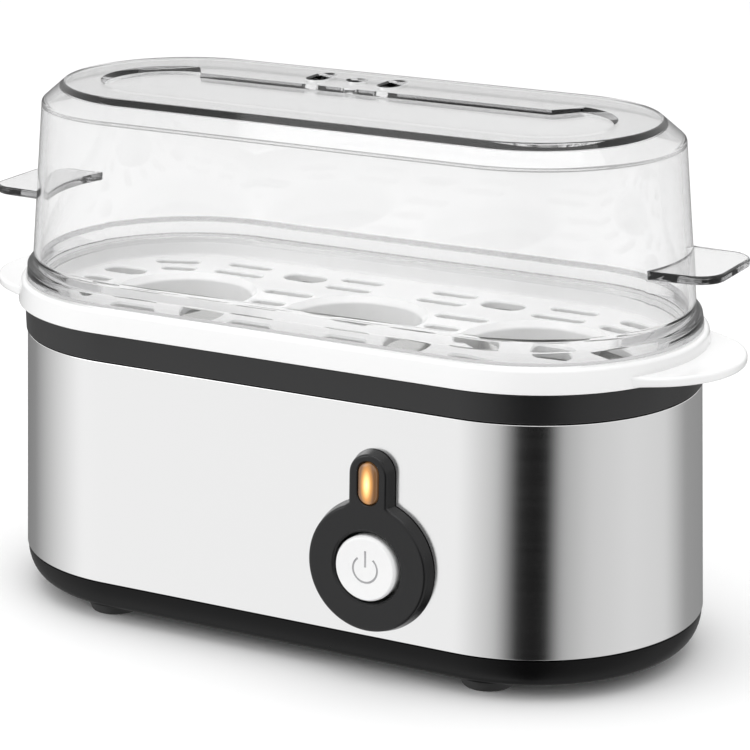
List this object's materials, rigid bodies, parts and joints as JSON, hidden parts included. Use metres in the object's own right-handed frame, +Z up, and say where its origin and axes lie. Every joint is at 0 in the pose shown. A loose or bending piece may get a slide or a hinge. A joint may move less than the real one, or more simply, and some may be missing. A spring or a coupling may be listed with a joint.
{
  "type": "egg cooker",
  "caption": "Electric egg cooker: oval steel body with a push-button switch and lamp, lift-off egg tray with side handles, clear lid with vents.",
  "frame": {"origin": "centre of the footprint, on the surface that the feet stand on", "axes": "+X along the length, to the right of someone facing the control panel; +Y from the control panel to the rear; +Z up"},
  "size_m": [0.209, 0.0961, 0.1345],
  "materials": {
    "black_plastic": "glossy black moulded plastic",
    "ring_plastic": "satin near-black moulded plastic",
    "foot_rubber": "matt black rubber",
    "steel": "satin stainless steel sheet",
    "dish_steel": "pressed and polished stainless steel",
    "zinc": "bright zinc-plated steel",
    "aluminium": "plain cast aluminium",
    "silicone": "red-brown silicone",
    "element_sheath": "grey oxidised heater sheath",
    "ceramic": "off-white glazed block",
    "phenolic": "dark brown phenolic moulding",
    "white_plastic": "glossy white moulded plastic",
    "amber": "translucent amber plastic",
    "lamp_glass": "clear lamp glass",
    "clear_plastic": "clear, faintly smoky moulded plastic",
    "wire_brown": "brown wire insulation",
    "wire_blue": "blue wire insulation",
    "wire_green": "green wire insulation",
    "wire_white": "white heat-proof insulation"
  },
  "bodies": {
    "cooker_body": {"base_screw_left_front": "zinc", "base_screw_left_rear": "zinc", "base_screw_right_front": "zinc", "base_screw_right_rear": "zinc", "base_shell": "black_plastic", "bracket_screw_left": "zinc", "bracket_screw_right": "zinc", "button_spring": "zinc", "clamp_bar_left": "zinc", "clamp_bar_right": "zinc", "clamp_nut_left": "zinc", "clamp_nut_right": "zinc", "clip_screw_left": "zinc", "clip_screw_right": "zinc", "control_bezel": "black_plastic", "cord_gland": "black_plastic", "dish_gasket": "silicone", "earth_wire": "wire_green", "element_terminal_front": "zinc", "element_terminal_rear": "zinc", "foot_front_left": "foot_rubber", "foot_front_right": "foot_rubber", "foot_rear_left": "foot_rubber", "foot_rear_right": "foot_rubber", "fuse_sleeve": "wire_white", "fuse_wire": "wire_white", "gland_nut": "black_plastic", "heat_plate": "aluminium", "heating_element": "element_sheath", "indicator_lamp": "lamp_glass", "indicator_lens": "amber", "lamp_holder": "white_plastic", "lamp_wire_live": "wire_white", "lamp_wire_neutral": "wire_white", "live_wire": "wire_brown", "neutral_wire": "wire_blue", "steel_sleeve": "steel", "switch_body": "phenolic", "switch_bracket": "zinc", "switch_tab_left": "zinc", "switch_tab_right": "zinc", "switch_wire": "wire_brown", "terminal_block": "ceramic", "terminal_screw_earth": "zinc", "terminal_screw_live": "zinc", "terminal_screw_neutral": "zinc", "thermal_fuse": "zinc", "thermostat_body": "phenolic", "thermostat_cap": "aluminium", "thermostat_clip": "zinc", "thermostat_tab_front": "zinc", "thermostat_tab_rear": "zinc", "thermostat_wire": "wire_white", "top_ring": "ring_plastic", "water_dish": "dish_steel"},
    "tray": {"egg_tray": "white_plastic"},
    "cover": {"lid": "clear_plastic"},
    "button": {"power_button": "white_plastic", "switch_plunger": "white_plastic"}
  },
  "joints": [
    {"name": "tray_lift", "type": "slide", "parent": "cooker_body", "child": "tray", "axis": [0, 0, 1], "range_m": [0, 0.06]},
    {"name": "lid_lift", "type": "slide", "parent": "tray", "child": "cover", "axis": [0, 0, 1], "range_m": [0, 0.08]},
    {"name": "button_press", "type": "slide", "parent": "cooker_body", "child": "button", "axis": [0, 0.9995, -0.0326], "range_m": [0, 0.0025], "stiffness_N_per_m": 400, "springref_m": -0.0005, "deforming": ["button_spring"]}
  ]
}
